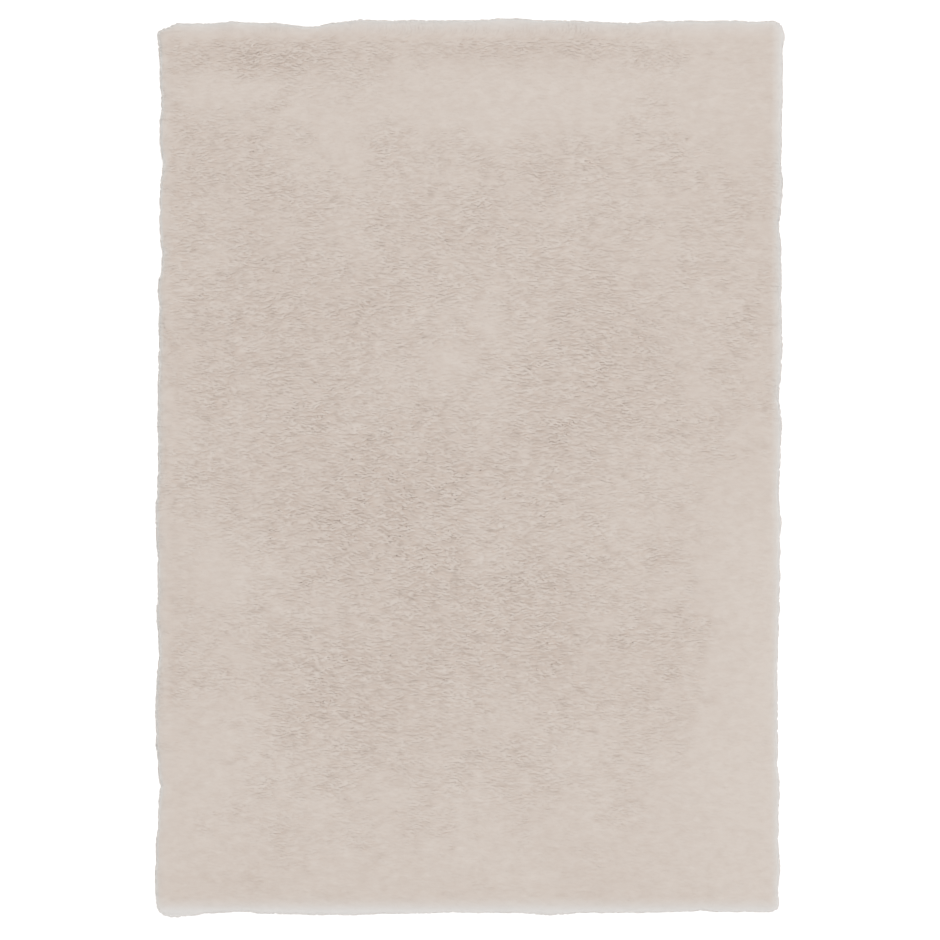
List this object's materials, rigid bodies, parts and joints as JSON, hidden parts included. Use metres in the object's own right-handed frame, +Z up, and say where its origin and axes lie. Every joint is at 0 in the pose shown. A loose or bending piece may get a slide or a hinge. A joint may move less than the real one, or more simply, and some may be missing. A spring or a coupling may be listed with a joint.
{
  "type": "shag rug",
  "caption": "Rectangular shag rug of long soft pile lying over to one side, with a shaggy rim and a flat underside.",
  "frame": {"origin": "on the floor, under the middle of the rug's outline over the pile", "axes": "+X towards the right side of the picture, the way most of the pile is combed; +Y along the length, towards the picture's top end; +Z up out of the pile"},
  "size_m": [1.4, 2, 0.036],
  "materials": {
    "pile": "long soft off-white pile yarn, matt with a faint sheen along the fibres",
    "base_cloth": "plain matt woven base cloth under the pile"
  },
  "bodies": {
    "root": {"shag_rug": "pile"}
  },
  "joints": []
}
